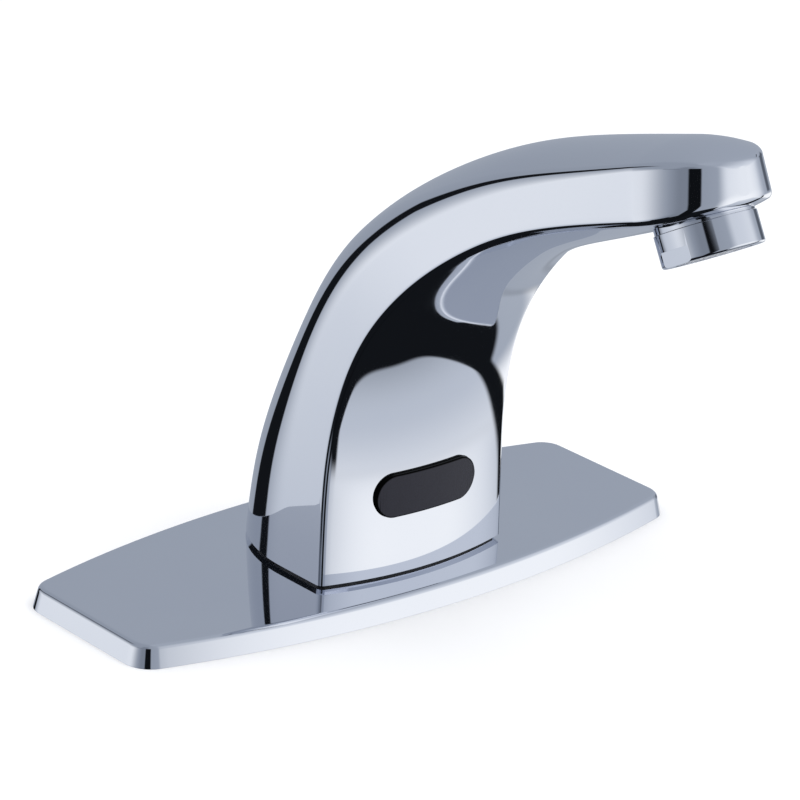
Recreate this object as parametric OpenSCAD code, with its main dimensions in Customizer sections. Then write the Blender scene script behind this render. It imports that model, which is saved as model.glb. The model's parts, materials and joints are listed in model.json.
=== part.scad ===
// Deck-mounted sensor tap: a curved one-piece spout on an oblong cover plate.
// X runs along the cover plate, -Y points at the user, +Z is up.
// The origin is the centre of the cover plate, on the face that rests on the deck.

/* [Cover plate] */
// Length of the cover plate's top face
plate_len = 160; // [150:1:180]
// Width of the top face at its middle
plate_mid_w = 63.8; // [62:0.2:70]
// Width of the top face at its ends
plate_end_w = 41.2; // [38:0.2:46]
// Height of the cover plate
plate_h = 5.3; // [4.8:0.1:7]
// How far the rim flares out between the top face and the deck
plate_flare = 1.3; // [0.8:0.1:2]
// Radius of the plate's corners, seen from above
plate_corner_r = 5.6; // [4:0.2:8]
// Rounding between the top face and the rim
plate_edge_r = 0.7; // [0.4:0.1:1.2]
// Wall of the pressed plate
plate_wall = 1.6; // [1.2:0.1:2.2]
// Radius of the opening for hose, lead and studs
deck_opening_r = 17; // [16:0.5:18]
// Thickness of the foam gasket under the plate
plate_gasket_t = 3.4; // [2.4:0.1:3.6]

/* [Spout body] */
// Height of the nose's top edge above the base
body_h = 124.9; // [118:0.5:132]
// Distance from the origin to the front of the nose
spout_reach = 117.8; // [112:0.2:122]
// Width across the body at its base
body_w = 55.8; // [54:0.2:60]
// Width of the spout along its lower edges, where its nose begins
nose_w = 35.6; // [34:0.2:37]
// Wall of the brass casting
body_wall = 3; // [2.4:0.1:3.4]
// Rounding of the sharp edges
edge_r = 1.3; // [0.8:0.1:2]

/* [Sensor] */
// Distance from each end of the dark window to the body's side
window_side = 12.4; // [12:0.1:13.4]
// Height of the dark window
window_h = 10.8; // [10:0.2:12]
// Height of the window's centre above the base
window_z = 20.6; // [19.5:0.1:22.5]
// How far the window lies back in its opening
window_recess = 0.9; // [0.6:0.1:1.3]
// Depth of the sensor housing
sensor_depth = 10.6; // [10:0.2:11.4]
// Distance of each infrared eye from the middle, as a share of the window's width
eye_share = 0.274; // [0.26:0.002:0.3]

/* [Water way] */
// Outer radius of the water tube
tube_r = 4; // [3.5:0.1:4.2]
// Wall of the water tube
tube_wall = 0.8; // [0.6:0.1:1.2]
// Distance of the tube's end behind the spout's last control slice
tube_end_back = 8.1; // [7.4:0.1:9]
// Distance of the tube and the inlet behind the origin
inlet_y = 5; // [4:0.2:6]
// Radius of the tapped inlet hole
inlet_r = 4.55; // [4.2:0.05:4.9]
// Depth of the inlet thread
inlet_len = 7; // [6:0.5:8]

/* [Outlet] */
// Tilt of the outlet forward from straight down
outlet_tilt = 28.8; // [26:0.2:31]
// Distance from the front edge of the last control slice forward to the middle of the outlet's end
outlet_ahead = 3.7; // [3.2:0.1:4.4]
// Distance from that edge down to the middle of the outlet's end
outlet_below = 1.3; // [0.9:0.1:1.8]
// Outer radius of the aerator sleeve
sleeve_r = 11.25; // [11:0.05:12]
// Length of the aerator sleeve
sleeve_len = 6.9; // [6.7:0.1:8]
// Outer radius of the outlet thread
thread_r = 9.93; // [9.7:0.01:10.2]
// Length of the outlet thread
thread_len = 4.4; // [4.1:0.1:4.6]

/* [Base] */
// Height of the base block
block_h = 9; // [9:0.5:11]
// Radius of the tapped holes for the fixing studs
stud_r = 2.5; // [2.1:0.05:2.6]
// Distance of each stud hole inwards from the screw beside it
stud_in = 7.9; // [7:0.1:8.1]
// Radius of the hole for the sensor lead
lead_r = 4; // [3.6:0.1:4.2]

/* [Hidden] */

// Overrun of every cut past the face it opens
over = 1;
// Gap left between pieces that are assembled without force
fit_gap = 0.3;
// Play of a tube, plug or screw in its hole
slip = 0.06;
// Seal under the body that shows as a thin dark line
seat_gap = 0.3;
// Facets of large and of small round pieces
fine = 64;
small = 32;

half_w = body_w / 2;
half_nose = nose_w / 2;
seat_z = plate_h + seat_gap;

// Each line is one control slice, from the base to the nose: its front edge and its back edge (how
// far forward, as a share of the reach, then how high, as a share of the body's height), its half
// width (0 at the nose, 1 at the base), the narrowing of its back edge, the bulge of its front and
// the crown of its back (shares of its half width), and how far its back edge is rounded, across
// and down the side.
slice_shares = [
    [0.164, 0.000, -0.148, 0.000, 1.000, 1.00, 0.155, 0.370, 0.90, 0.61],
    [0.160, 0.147, -0.127, 0.159, 0.984, 1.00, 0.158, 0.357, 0.88, 0.60],
    [0.160, 0.259, -0.076, 0.295, 0.930, 0.99, 0.163, 0.335, 0.80, 0.58],
    [0.177, 0.371, -0.012, 0.430, 0.850, 0.97, 0.165, 0.310, 0.72, 0.50],
    [0.215, 0.472,  0.050, 0.545, 0.760, 0.95, 0.170, 0.325, 0.55, 0.44],
    [0.275, 0.564,  0.140, 0.648, 0.680, 0.93, 0.190, 0.355, 0.40, 0.36],
    [0.372, 0.666,  0.276, 0.752, 0.520, 0.91, 0.285, 0.350, 0.27, 0.30],
    [0.518, 0.768,  0.466, 0.857, 0.200, 0.90, 0.325, 0.335, 0.18, 0.27],
    [0.678, 0.830,  0.645, 0.920, 0.010, 0.89, 0.285, 0.315, 0.15, 0.26],
    [0.866, 0.887,  0.835, 0.969, 0.000, 0.88, 0.140, 0.290, 0.15, 0.26]];
last_slice = len(slice_shares) - 1;
// Rings between two control slices, and in the nose
rings_per_slice = 3;
nose_rings = 9;
// Where on its oval the nose begins, and where its flat tip ends
nose_from = 10;
nose_to = 86;
// How square the oval is: 1 is a plain oval, less is blunter
nose_bluntness = 0.88;
// How much the nose's tip loses at top and bottom, as shares of the spout's depth
nose_top_share = 0.08;
nose_bottom_share = 0.18;
// Rounding of the nose's tip at top and bottom
nose_edge_r = 1.2;
// Weight that makes a rounding a quarter of an ellipse
conic_w = 0.707;
// Largest part of a half width that an edge and a rounding may take
edge_limit = 0.45;
round_limit = 0.9;

function mix(a, b, t) = a + (b - a) * t;
function vec(p, q) = [q[0] - p[0], q[1] - p[1]];

// Smooth curve through the control slices, with a straight run-out at both ends
function control(i) =
    i < 0 ? 2 * slice_shares[0] - slice_shares[1] :
    i > last_slice ? 2 * slice_shares[last_slice] - slice_shares[last_slice - 1] :
    slice_shares[i];
function smooth_row(s) =
    let (i = min(floor(s), last_slice - 1), t = s - i)
    (pow(1 - t, 3) * control(i - 1)
        + (3 * pow(t, 3) - 6 * pow(t, 2) + 4) * control(i)
        + (-3 * pow(t, 3) + 3 * pow(t, 2) + 3 * t + 1) * control(i + 1)
        + pow(t, 3) * control(i + 2)) / 6;

// A slice in real sizes: front edge, back edge, half widths, bulge, crown, roundings
function slice_at(s) =
    let (c = smooth_row(s), w = mix(half_nose, half_w, c[4]))
    [[-c[0] * spout_reach, seat_z + c[1] * body_h], [-c[2] * spout_reach, seat_z + c[3] * body_h],
        w, w * c[5], w * c[6], w * c[7], w * c[5] * c[8], c[9]];

// A slice of the nose, which closes as an oval seen along the spout's height
function nose_slice(angle) =
    let (s = slice_at(last_slice), run = vec(s[0], s[1]), depth = norm(run), up = run / depth,
        front = [up[1], -up[0]] * -1, start = s[0],
        long = (spout_reach + start[0]) / -front[0] / (1 - sin(nose_from)),
        wide = s[2] / pow(cos(nose_from), nose_bluntness),
        go = long * (sin(angle) - sin(nose_from)), left = long * (1 - sin(angle)),
        share = (sin(angle) - sin(nose_from)) / (1 - sin(nose_from)),
        drop = left < nose_edge_r ? nose_edge_r - sqrt(pow(nose_edge_r, 2) - pow(nose_edge_r - left, 2)) : 0,
        low = depth * nose_bottom_share * pow(share, 2) + drop,
        high = depth * nose_top_share * pow(share, 2) + drop,
        w = wide * pow(cos(angle), nose_bluntness),
        slope = long * cos(angle) / norm([long * cos(angle), wide * sin(angle)]),
        f = start + front * go + up * low, b = s[1] + front * go - up * high)
    [f, b, w, w * s[3] / s[2], s[4] * cos(angle), s[5] * cos(angle),
        min(round_limit * w * s[3] / s[2], s[6] / slope), s[7]];

function conic(p, c, q, t) =
    (pow(1 - t, 2) * p + 2 * conic_w * t * (1 - t) * c + pow(t, 2) * q)
        / (pow(1 - t, 2) + 2 * conic_w * t * (1 - t) + pow(t, 2));

// Half of a slice's outline as [x, depth from the back edge], from the middle of the front to the
// middle of the back. inset moves it inwards for the cavity.
function half_outline(s, inset, steps) =
    let (deep = norm(vec(s[0], s[1])), w = s[2] - inset, v = s[3] - inset, top = inset,
        bottom = deep - inset, tall = bottom - top, bulge = s[4] * w / s[2], crown = s[5] * v / s[3],
        e = min(edge_r, w * edge_limit), u = 1 - e / w, r = min(s[6], round_limit * v), k = 1 - r / v,
        side = s[7] * tall, side_x = mix(v, w, side / tall), e_x = mix(v, w, 1 - e / tall),
        top_x = mix(v, w, -crown * pow(1 - k, 2) / tall))
    concat(
        [for (i = [0:steps[0]]) let (x = u * w * i / steps[0]) [x, bottom + bulge * (1 - pow(x / w, 2))]],
        [for (i = [1:steps[1]]) conic([u * w, bottom + bulge * (1 - u * u)],
            [w, bottom + bulge * pow(1 - u, 2)], [e_x, bottom - e], i / steps[1])],
        [for (i = [1:steps[2]]) let (t = i / steps[2])
            [mix(e_x, side_x, t), mix(bottom - e, top + side, t)]],
        [for (i = [1:steps[3]]) conic([side_x, top + side],
            [top_x, top - crown * pow(1 - k, 2)], [k * v, top - crown * (1 - k * k)], i / steps[3])],
        [for (i = [1:steps[4]]) let (x = k * v * (1 - i / steps[4]))
            [x, top - crown * (1 - pow(x / v, 2))]]);

// A slice's whole outline in space
function ring(s, inset, steps) =
    let (half = half_outline(s, inset, steps), n = len(half), d = vec(s[1], s[0]) / norm(vec(s[1], s[0])),
        all = concat(half, [for (i = [n - 2:-1:1]) [-half[i][0], half[i][1]]]))
    [for (p = all) [p[0], s[1][0] + d[0] * p[1], s[1][1] + d[1] * p[1]]];

// Closed skin over a stack of rings
module loft(rings) {
    n = len(rings[0]);
    m = len(rings);
    polyhedron(
        points = [for (r = rings) each r],
        faces = concat(
            [[for (i = [0:n - 1]) i]],
            [[for (i = [n - 1:-1:0]) (m - 1) * n + i]],
            [for (j = [0:m - 2], i = [0:n - 1], k = [0, 1]) let (a = j * n + i, b = j * n + (i + 1) % n)
                k == 0 ? [a, a + n, b + n] : [a, b + n, b]]));
}

outer_steps = [6, 3, 2, 7, 4];
inner_steps = [4, 1, 1, 4, 2];

module body_skin() {
    slices = concat(
        [for (i = [0:last_slice * rings_per_slice - 1]) slice_at(i / rings_per_slice)],
        [for (i = [0:nose_rings]) nose_slice(mix(nose_from, nose_to, i / nose_rings))]);
    loft([for (s = slices) ring(s, 0, outer_steps)]);
}

// The cavity runs from the open base to the solid nose
cavity_end = 8.35;
cavity_rings = 15;
function lowered(points, by) = [for (p = points) [p[0], p[1], p[2] - by]];
module body_cavity() {
    base = ring(slice_at(0), body_wall, inner_steps);
    loft(concat([lowered(base, over)],
        [for (i = [0:cavity_rings]) ring(slice_at(cavity_end * i / cavity_rings), body_wall, inner_steps)]));
}

// Outline of the body's base as a flat shape, moved inwards
module base_outline(inset) {
    s = slice_at(0);
    polygon([for (p = ring(s, inset, inner_steps)) [p[0], p[1]]]);
}

// The outlet hangs on the front edge of the last slice; z runs out of the spout along the water's way
nose_start = slice_at(last_slice);
outlet_at = nose_start[0] - [outlet_ahead, outlet_below];
module at_outlet() {
    translate([0, outlet_at[0], outlet_at[1]]) rotate([-outlet_tilt, 0, 0]) mirror([0, 0, 1]) children();
}
boss_r = sleeve_r - fit_gap;
boss_len = 7;
nipple_socket_r = 8.4;
nipple_socket_len = 10;

// The bent tube's way: up from the block, one bend, then straight along the spout's middle
tube_seat_len = 5;
tube_boss_h = 7;
block_top = seat_z + block_h;
tube_start = block_top + tube_boss_h - tube_seat_len;
tube_drop = 0.5;
tube_port_len = 7;
seal_r = 0.8;
seal_from = 4;
// Share of the upright run's height that the bend takes
bend_share = 0.81;
function slice_mid(s) = let (c = slice_at(s)) (c[0] + c[1]) / 2;
spout_run = slice_mid(last_slice) - slice_mid(last_slice - 2);
tube_pitch = atan2(spout_run[1], -spout_run[0]);
tube_end = slice_mid(last_slice) - [0, tube_drop] + tube_end_back * [cos(tube_pitch), -sin(tube_pitch)];
tube_socket_len = (slice_mid(cavity_end)[0] - tube_end[0]) / cos(tube_pitch) + over;
turn = 90 - tube_pitch;
corner_z = tube_end[1] - tan(tube_pitch) * (inlet_y - tube_end[0]);
tube_bend_r = bend_share * (corner_z - tube_start) / tan(turn / 2);
bend_from = corner_z - tube_bend_r * tan(turn / 2);
straight_len = (inlet_y - tube_end[0]) / cos(tube_pitch) - tube_bend_r * tan(turn / 2);
module at_tube_end() {
    translate([0, tube_end[0], tube_end[1]]) rotate([90 - tube_pitch, 0, 0]) children();
}

// Window and sensor share one middle line
window_mid = seat_z + window_z;
window_w = body_w - 2 * window_side;
eye_x = window_w * eye_share;
window_slice = 1.2;
front_row = slice_at(window_slice);
front_y = front_row[0][0] - front_row[4];
front_r = (pow(front_row[2], 2) + pow(front_row[4], 2)) / (2 * front_row[4]);
pocket_y = front_y + body_wall + fit_gap * 2;
flange_rim = 1.6;
flange_t = 1.4;
window_gasket_t = 0.8;
window_rear = pocket_y + window_gasket_t + flange_t;
housing_w = window_w + 2 * flange_rim;
housing_h = window_h + 2 * flange_rim;
housing_rear = window_rear + sensor_depth;
ear_t = 2;
ear_r = 2.8;
ear_x = housing_w / 2 + ear_r + fit_gap;
ear_back = 3.4;
ear_y = window_rear + ear_back;
sensor_screw_r = 1.25;
sensor_screw_len = 4;
// Radius of a screw's head as a share of its shank's radius
screw_head_share = 1.9;

// Anything drawn with z towards the user, its origin on the window's middle line
module facing_user(y) {
    translate([0, y, window_mid]) rotate([90, 0, 0]) children();
}
module stadium(w, h) {
    union() {
        square([w - h, h], center = true);
        for (x = [-1, 1]) translate([x * (w - h) / 2, 0]) circle(d = h, $fn = fine);
    }
}
module rounded_box_2d(w, h, r) {
    union() {
        square([w - 2 * r, h], center = true);
        square([w, h - 2 * r], center = true);
        for (x = [-1, 1], y = [-1, 1]) translate([x * (w / 2 - r), y * (h / 2 - r)])
            circle(r = r, $fn = small);
    }
}

// Screws of the base block and the posts that take them
base_screw_in = 5.5;
base_screw_x = half_w - body_wall - base_screw_in;
stud_x = base_screw_x - stud_in;
base_screw_y = 1;
base_screw_r = 1.95;
base_screw_len = 14;
post_r = 3.8;
post_h = 14;
post_rib = half_w - body_wall / 2 - base_screw_x;
head_r = 3.4;
head_h = 2.4;
// Depth of the hexagon socket as a share of the head's height
socket_share = 0.6;
at_base_screws = [[-base_screw_x, base_screw_y], [base_screw_x, base_screw_y]];

// Groove for the seal under the body
body_gasket_w = 1.4;
body_gasket_deep = 0.9;
groove_in = (body_wall - body_gasket_w) / 2;

module tap_body() {
    color([0.82, 0.84, 0.87]) difference() {
        union() {
            difference() {
                union() {
                    body_skin();
                    at_outlet() translate([0, 0, -boss_len]) cylinder(r = boss_r, h = boss_len, $fn = fine);
                }
                body_cavity();
                facing_user(pocket_y) translate([0, 0, -over - flange_t - window_gasket_t])
                    linear_extrude(flange_t + window_gasket_t + over)
                    rounded_box_2d(housing_w + 2 * fit_gap, housing_h + 2 * fit_gap, ear_r);
            }
            for (p = at_base_screws) translate([p[0], p[1], block_top + fit_gap]) {
                cylinder(r = post_r, h = post_h, $fn = small);
                translate([sign(p[0]) * post_rib / 2, 0, post_h / 2])
                    cube([post_rib, post_r, post_h], center = true);
            }
            for (x = [-1, 1]) translate([x * ear_x, ear_y, window_mid]) rotate([90, 0, 0])
                cylinder(r = ear_r, h = ear_y - front_y - body_wall, $fn = small);
        }
        for (p = at_base_screws) translate([p[0], p[1], block_top - over])
            cylinder(r = base_screw_r + slip, h = post_h - over, $fn = small);
        for (x = [-1, 1]) translate([x * ear_x, ear_y + over, window_mid]) rotate([90, 0, 0])
            cylinder(r = sensor_screw_r + slip, h = sensor_screw_len + over, $fn = small);
        facing_user(pocket_y + over) linear_extrude(body_wall + 3 * over) stadium(window_w, window_h);
        at_outlet() cylinder(r = sleeve_r + fit_gap, h = thread_len, $fn = fine);
        at_outlet() translate([0, 0, -nipple_socket_len])
            cylinder(r = nipple_socket_r, h = nipple_socket_len + over, $fn = fine);
        at_tube_end() translate([0, 0, -tube_socket_len])
            cylinder(r = tube_r + slip, h = tube_socket_len, $fn = small);
        at_tube_end() translate([0, 0, -over])
            cylinder(r = tube_r - tube_wall, h = tube_port_len + over, $fn = small);
        at_tube_end() translate([0, 0, -seal_from])
            cylinder(r = tube_r + seal_r * 2, h = seal_r * 2, $fn = small);
        translate([0, 0, seat_z - over]) linear_extrude(over + body_gasket_deep) difference() {
            base_outline(groove_in);
            base_outline(groove_in + body_gasket_w);
        }
    }
}

// Plate outline: straight ends, long sides as arcs, rounded corners
arc_steps = 14;
corner_steps = 6;
function plate_ring(grow, z) =
    let (half = plate_len / 2, sag = (plate_mid_w - plate_end_w) / 2,
        big = (pow(half, 2) + pow(sag, 2)) / (2 * sag), mid = big - plate_mid_w / 2,
        cx = half - plate_corner_r, cy = sqrt(pow(big - plate_corner_r, 2) - pow(cx, 2)) - mid,
        tip = atan2(cx, cy + mid), r = plate_corner_r + grow,
        quarter = concat(
            [for (i = [0:arc_steps - 1]) let (a = tip * i / arc_steps)
                [(big + grow) * sin(a), (big + grow) * cos(a) - mid]],
            [for (i = [0:corner_steps]) let (a = mix(tip, 90, i / corner_steps))
                [cx + r * sin(a), cy + r * cos(a)]]),
        n = len(quarter))
    concat(
        [for (i = [0:n - 1]) [quarter[i][0], -quarter[i][1], z]],
        [for (i = [n - 1:-1:0]) [quarter[i][0], quarter[i][1], z]],
        [for (i = [1:n - 1]) [-quarter[i][0], quarter[i][1], z]],
        [for (i = [n - 1:-1:1]) [-quarter[i][0], -quarter[i][1], z]]);
function rim_grow(z) = plate_flare * (1 - z / plate_h);

module deck_plate() {
    edge_z = plate_h - plate_edge_r;
    top_steps = 3;
    color([0.8, 0.82, 0.86]) difference() {
        loft(concat([plate_ring(plate_flare, 0)],
            [for (i = [0:top_steps]) let (a = 90 * i / top_steps, lost = plate_edge_r * (1 - cos(a)))
                plate_ring(rim_grow(edge_z) - lost, edge_z + plate_edge_r * sin(a))]));
        loft([plate_ring(plate_flare - plate_wall, -over), plate_ring(-plate_wall, plate_h - plate_wall)]);
        cylinder(r = deck_opening_r, h = 3 * plate_h, center = true, $fn = fine);
    }
}

module deck_plate_gasket() {
    color([0.16, 0.16, 0.17]) difference() {
        linear_extrude(plate_gasket_t)
            polygon([for (p = plate_ring(-plate_wall - fit_gap, 0)) [p[0], p[1]]]);
        cylinder(r = deck_opening_r, h = 3 * plate_gasket_t, center = true, $fn = fine);
    }
}

module body_gasket() {
    color([0.1, 0.1, 0.11]) translate([0, 0, plate_h])
        linear_extrude(seat_gap + body_gasket_deep - slip) difference() {
            base_outline(groove_in + slip);
            base_outline(groove_in + body_gasket_w - slip);
        }
}

// Cup of fine mesh above the inlet thread, which keeps grit out of the valve and the aerator
strainer_t = 0.6;
strainer_h = 2;
strainer_pitch = 1.3;
strainer_r = inlet_r - strainer_t;
// Share of the pitch that a hole of a strainer or a screen takes
hole_share = 0.6;

// Brass block that closes the base and carries inlet, studs and lead
lead_y = 9;
// Gap round the block, because the walls lean inwards above the base
block_gap = 1.4;
tube_boss_wall = 3.6;
tube_boss_r = tube_r + tube_boss_wall;
grommet_flange_r = lead_r + 1.2;
grommet_flange_t = 1;
module base_block() {
    color([0.78, 0.66, 0.38]) difference() {
        union() {
            translate([0, 0, seat_z]) linear_extrude(block_h) base_outline(body_wall + block_gap);
            translate([0, inlet_y, block_top - over])
                cylinder(r = tube_boss_r, h = tube_boss_h + over, $fn = fine);
        }
        translate([0, inlet_y, seat_z - over]) cylinder(r = inlet_r, h = inlet_len + over, $fn = small);
        translate([0, inlet_y, seat_z + inlet_len - over])
            cylinder(r = strainer_r + slip, h = strainer_h + over, $fn = small);
        translate([0, inlet_y, seat_z])
            cylinder(r = tube_r - tube_wall, h = block_h + tube_boss_h, $fn = small);
        translate([0, inlet_y, tube_start])
            cylinder(r = tube_r + slip, h = tube_seat_len + over, $fn = small);
        translate([0, inlet_y, tube_start + tube_seat_len / 2 - seal_r])
            cylinder(r = tube_r + seal_r * 2, h = seal_r * 2, $fn = small);
        for (x = [-1, 1]) translate([x * stud_x, 0, seat_z - over])
            cylinder(r = stud_r, h = block_h + 2 * over, $fn = small);
        translate([0, -lead_y, seat_z - over]) cylinder(r = lead_r, h = block_h + 2 * over, $fn = small);
        for (z = [seat_z - over, block_top - grommet_flange_t]) translate([0, -lead_y, z])
            cylinder(r = grommet_flange_r + slip, h = grommet_flange_t + over, $fn = small);
        for (p = at_base_screws) translate([p[0], p[1], seat_z - over]) {
            cylinder(r = base_screw_r + fit_gap / 2, h = block_h + 2 * over, $fn = small);
            cylinder(r = head_r + fit_gap, h = head_h + over + slip, $fn = small);
        }
    }
}

module base_screws() {
    color([0.7, 0.7, 0.72]) for (p = at_base_screws) translate([p[0], p[1], seat_z + slip]) difference() {
        union() {
            cylinder(r = head_r, h = head_h, $fn = small);
            cylinder(r = base_screw_r, h = head_h + base_screw_len, $fn = small);
        }
        translate([0, 0, -over]) cylinder(d = head_r, h = head_h * socket_share + over, $fn = 6);
    }
}

module inlet_strainer() {
    color([0.75, 0.76, 0.78]) translate([0, inlet_y, seat_z + inlet_len]) difference() {
        cylinder(r = strainer_r, h = strainer_h - slip, $fn = small);
        translate([0, 0, -over])
            cylinder(r = strainer_r - strainer_t, h = strainer_h - strainer_t + over, $fn = small);
        for (x = [-1.5:1:1.5], y = [-1.5:1:1.5]) translate([x * strainer_pitch, y * strainer_pitch, 0])
            cylinder(d = strainer_pitch * hole_share, h = strainer_h + over, $fn = 6);
    }
}

module o_ring(r) {
    rotate_extrude($fn = small) translate([r + seal_r, 0]) circle(r = seal_r - slip, $fn = small);
}
module tube_inlet_seal() {
    color([0.08, 0.08, 0.08]) translate([0, inlet_y, tube_start + tube_seat_len / 2]) o_ring(tube_r);
}
module tube_outlet_seal() {
    color([0.08, 0.08, 0.08]) at_tube_end() translate([0, 0, -seal_from + seal_r]) o_ring(tube_r);
}

// The runs reach a little into the bend, which is drawn thinner by as much as its wall gives
module pipe_part(r, r_bend, past) {
    translate([0, inlet_y, tube_start - past])
        cylinder(r = r, h = bend_from - tube_start + past + over, $fn = small);
    translate([0, inlet_y - tube_bend_r, bend_from]) rotate([90, 0, 90])
        rotate_extrude(angle = turn, $fn = fine) translate([tube_bend_r, 0]) circle(r = r_bend, $fn = small);
    at_tube_end() translate([0, 0, -straight_len - over])
        cylinder(r = r, h = straight_len + over + past, $fn = small);
}
module water_tube() {
    inner = tube_r - tube_wall;
    color([0.72, 0.45, 0.3]) difference() {
        pipe_part(tube_r, tube_r - slip, 0);
        pipe_part(inner, inner + slip, over);
    }
}

// Threaded nipple that carries the aerator
nipple_bore_r = 7.6;
nipple_in_len = 5;
module outlet_nipple() {
    color([0.8, 0.7, 0.45]) at_outlet() difference() {
        union() {
            translate([0, 0, -nipple_in_len])
                cylinder(r = nipple_socket_r - slip, h = nipple_in_len + 2 * slip, $fn = fine);
            translate([0, 0, slip]) cylinder(r = thread_r, h = thread_len - slip, $fn = fine);
        }
        translate([0, 0, -nipple_in_len - over])
            cylinder(r = nipple_bore_r, h = nipple_in_len + thread_len + 2 * over, $fn = fine);
    }
}
module outlet_seal() {
    color([0.08, 0.08, 0.08]) at_outlet() translate([0, 0, -nipple_in_len - seal_r - slip])
        rotate_extrude($fn = fine) translate([nipple_bore_r, 0]) circle(r = seal_r - slip, $fn = small);
}

module sensor_window() {
    color([0.16, 0.14, 0.17]) {
        intersection() {
            facing_user(pocket_y + window_gasket_t) linear_extrude(body_wall * 2)
                stadium(window_w - fit_gap, window_h - fit_gap);
            translate([0, front_y + front_r, window_mid])
                cylinder(r = front_r - window_recess, h = window_h * 2, center = true, $fn = fine * 4);
        }
        facing_user(window_rear) linear_extrude(flange_t)
            rounded_box_2d(housing_w, housing_h, ear_r);
    }
}
module window_gasket() {
    color([0.07, 0.07, 0.08]) facing_user(pocket_y + window_gasket_t - slip)
        linear_extrude(window_gasket_t - 2 * slip) difference() {
            rounded_box_2d(housing_w, housing_h, ear_r);
            stadium(window_w, window_h);
        }
}

// Housing: a tray with a chamber for each eye and one for the light
housing_wall = 1.2;
tray_floor = 1.2;
board_t = 1.2;
cover_t = 1.4;
cover_lip = 0.6;
eye_r = 2.5;
led_r = 1.5;
board_gap = 1;
board_y = housing_rear - cover_t - board_t - board_gap;
module sensor_housing() {
    color([0.12, 0.12, 0.13]) difference() {
        union() {
            facing_user(housing_rear - cover_t) linear_extrude(sensor_depth - cover_t - slip)
                rounded_box_2d(housing_w, housing_h, ear_r);
            for (x = [-1, 1]) facing_user(ear_y + ear_t + slip) linear_extrude(ear_t) union() {
                translate([x * ear_x, 0]) circle(r = ear_r, $fn = small);
                translate([x * (ear_x + housing_w / 2 - housing_wall) / 2, 0])
                    square([ear_x - housing_w / 2 + housing_wall, ear_r * 2], center = true);
            }
        }
        facing_user(housing_rear) linear_extrude(sensor_depth - tray_floor)
            rounded_box_2d(housing_w - 2 * housing_wall, housing_h - 2 * housing_wall, housing_wall);
        for (x = [-eye_x, eye_x]) translate([x, 0, 0]) facing_user(housing_rear)
            cylinder(r = eye_r + slip, h = sensor_depth + over, $fn = small);
        facing_user(housing_rear) cylinder(r = led_r + slip, h = sensor_depth + over, $fn = small);
        for (x = [-1, 1]) translate([x * ear_x, 0, 0]) facing_user(ear_y + ear_t + over)
            cylinder(r = sensor_screw_r + fit_gap / 2, h = ear_t + 2 * over, $fn = small);
    }
}
module sensor_circuit_board() {
    less = 2 * (housing_wall + fit_gap);
    color([0.1, 0.35, 0.2]) facing_user(board_y + board_t) linear_extrude(board_t)
        rounded_box_2d(housing_w - less, housing_h - less, housing_wall);
}
// A light or an eye: a round lens on a collar that stands on the board
module eye(r) {
    length = board_y - window_rear - fit_gap * 2;
    facing_user(board_y) {
        cylinder(r = r + slip * 4, h = r / 2, $fn = small);
        cylinder(r = r - slip, h = length - r, $fn = small);
        translate([0, 0, length - r]) sphere(r = r - slip, $fn = small);
    }
}
module infrared_emitter() {
    color([0.5, 0.55, 0.75]) translate([-eye_x, 0, 0]) eye(eye_r - slip);
}
module infrared_receiver() {
    color([0.2, 0.18, 0.2]) translate([eye_x, 0, 0]) eye(eye_r - slip);
}
module indicator_led() {
    color([0.8, 0.15, 0.12]) eye(led_r - slip);
}
module sensor_rear_cover() {
    less = 2 * housing_wall + fit_gap;
    color([0.14, 0.14, 0.15]) difference() {
        union() {
            facing_user(housing_rear + slip) linear_extrude(cover_t)
                rounded_box_2d(housing_w, housing_h, ear_r);
            facing_user(housing_rear) linear_extrude(cover_t + cover_lip)
                rounded_box_2d(housing_w - less, housing_h - less, housing_wall);
        }
        facing_user(housing_rear + over) cylinder(r = lead_r / 2, h = cover_t + 3 * over, $fn = small);
    }
}
module sensor_screws() {
    head_y = ear_y + ear_t + 2 * slip;
    color([0.7, 0.7, 0.72]) for (x = [-1, 1]) translate([x * ear_x, 0, 0]) facing_user(head_y) {
        translate([0, 0, -sensor_screw_r])
            cylinder(r = sensor_screw_r * screw_head_share, h = sensor_screw_r, $fn = small);
        translate([0, 0, -slip])
            cylinder(r = sensor_screw_r, h = sensor_screw_len + ear_t - over, $fn = small);
    }
}

module lead_grommet() {
    inner = lead_r / 2;
    color([0.1, 0.1, 0.1]) translate([0, -lead_y, 0]) difference() {
        union() {
            translate([0, 0, seat_z + slip])
                cylinder(r = lead_r - slip, h = block_h - 2 * slip, $fn = small);
            for (z = [seat_z + slip, block_top - grommet_flange_t + slip]) translate([0, 0, z])
                cylinder(r = grommet_flange_r, h = grommet_flange_t - 2 * slip, $fn = small);
        }
        translate([0, 0, seat_z - over]) cylinder(r = inner, h = block_h + 2 * over, $fn = small);
    }
}

// Aerator, from its seat on the nipple outwards
sleeve_gap = 0.35;
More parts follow.
